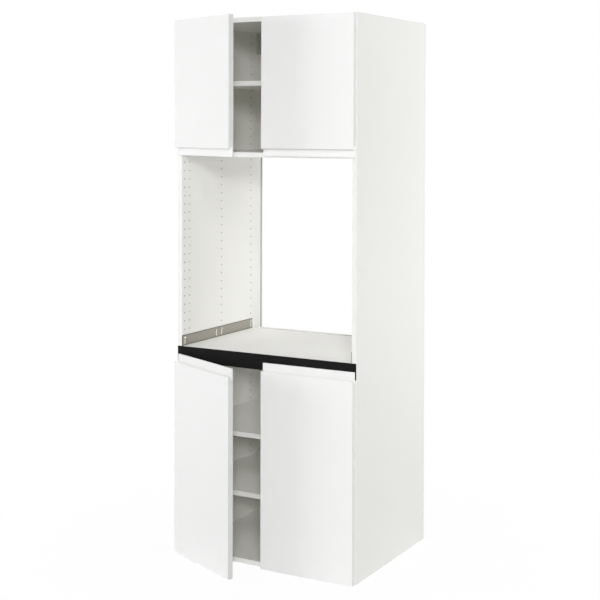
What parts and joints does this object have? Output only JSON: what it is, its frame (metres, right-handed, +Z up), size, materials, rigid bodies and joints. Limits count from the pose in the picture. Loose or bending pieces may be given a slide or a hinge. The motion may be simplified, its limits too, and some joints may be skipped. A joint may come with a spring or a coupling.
{
  "type": "kitchen cabinet",
  "caption": "Tall white kitchen cabinet for a built-in oven: an open niche on steel rails between hinged doors with integrated handles, above and below, with loose shelves behind them.",
  "frame": {"origin": "middle of the carcass footprint on its underside; the carcass is the box without the doors", "axes": "+Z up, front and doors towards -Y, +X to the right of someone who faces the front"},
  "size_m": [0.7643, 0.7801, 2.032],
  "materials": {
    "white_board": "particle board with a matt white melamine skin and white edge banding",
    "white_door": "fibreboard with a smooth matt white foil wrapped round the front and the handle",
    "back_board": "thin fibreboard, painted white in front",
    "rail_steel": "zinc-plated sheet steel, dull warm grey",
    "fitting_steel": "zinc-plated steel",
    "screw_steel": "bright zinc-plated steel",
    "hinge_steel": "nickel-plated steel, satin",
    "black_strip": "thin sheet steel, satin black",
    "clear_rubber": "soft milky bumper"
  },
  "bodies": {
    "carcass": {"bottom_panel": "white_board", "cam_bolts": "fitting_steel", "cam_locks": "fitting_steel", "cover_strip": "black_strip", "hanging_bracket_left": "fitting_steel", "hanging_bracket_right": "fitting_steel", "hanging_bracket_screws": "screw_steel", "high_shelf": "white_board", "low_shelf": "white_board", "lower_back_panel": "back_board", "lower_left_hinge_arms": "hinge_steel", "lower_left_hinge_plates": "hinge_steel", "lower_right_hinge_arms": "hinge_steel", "lower_right_hinge_plates": "hinge_steel", "middle_shelf": "white_board", "oven_rail_left": "rail_steel", "oven_rail_right": "rail_steel", "oven_rail_screws": "screw_steel", "oven_shelf": "white_board", "shelf_pins": "fitting_steel", "side_panel_left": "white_board", "side_panel_right": "white_board", "top_panel": "white_board", "upper_back_panel": "back_board", "upper_fixed_shelf": "white_board", "upper_left_hinge_arms": "hinge_steel", "upper_left_hinge_plates": "hinge_steel", "upper_right_hinge_arms": "hinge_steel", "upper_right_hinge_plates": "hinge_steel"},
    "lower_left_leaf": {"lower_left_bumpers": "clear_rubber", "lower_left_door": "white_door", "lower_left_hinge_cups": "hinge_steel", "lower_left_hinge_pins": "hinge_steel"},
    "lower_right_leaf": {"lower_right_bumpers": "clear_rubber", "lower_right_door": "white_door", "lower_right_hinge_cups": "hinge_steel", "lower_right_hinge_pins": "hinge_steel"},
    "upper_left_leaf": {"upper_left_bumpers": "clear_rubber", "upper_left_door": "white_door", "upper_left_hinge_cups": "hinge_steel", "upper_left_hinge_pins": "hinge_steel"},
    "upper_right_leaf": {"upper_right_bumpers": "clear_rubber", "upper_right_door": "white_door", "upper_right_hinge_cups": "hinge_steel", "upper_right_hinge_pins": "hinge_steel"}
  },
  "joints": [
    {"name": "lower_left_hinge", "type": "hinge", "parent": "carcass", "child": "lower_left_leaf", "pos_m": [-0.3705, -0.3135, 0], "axis": [0, 0, -1], "range_deg": [-25, 70]},
    {"name": "lower_right_hinge", "type": "hinge", "parent": "carcass", "child": "lower_right_leaf", "pos_m": [0.3705, -0.3135, 0], "axis": [0, 0, 1], "range_deg": [0, 95]},
    {"name": "upper_left_hinge", "type": "hinge", "parent": "carcass", "child": "upper_left_leaf", "pos_m": [-0.3705, -0.3135, 0], "axis": [0, 0, -1], "range_deg": [-25, 70]},
    {"name": "upper_right_hinge", "type": "hinge", "parent": "carcass", "child": "upper_right_leaf", "pos_m": [0.3705, -0.3135, 0], "axis": [0, 0, 1], "range_deg": [0, 95]}
  ]
}
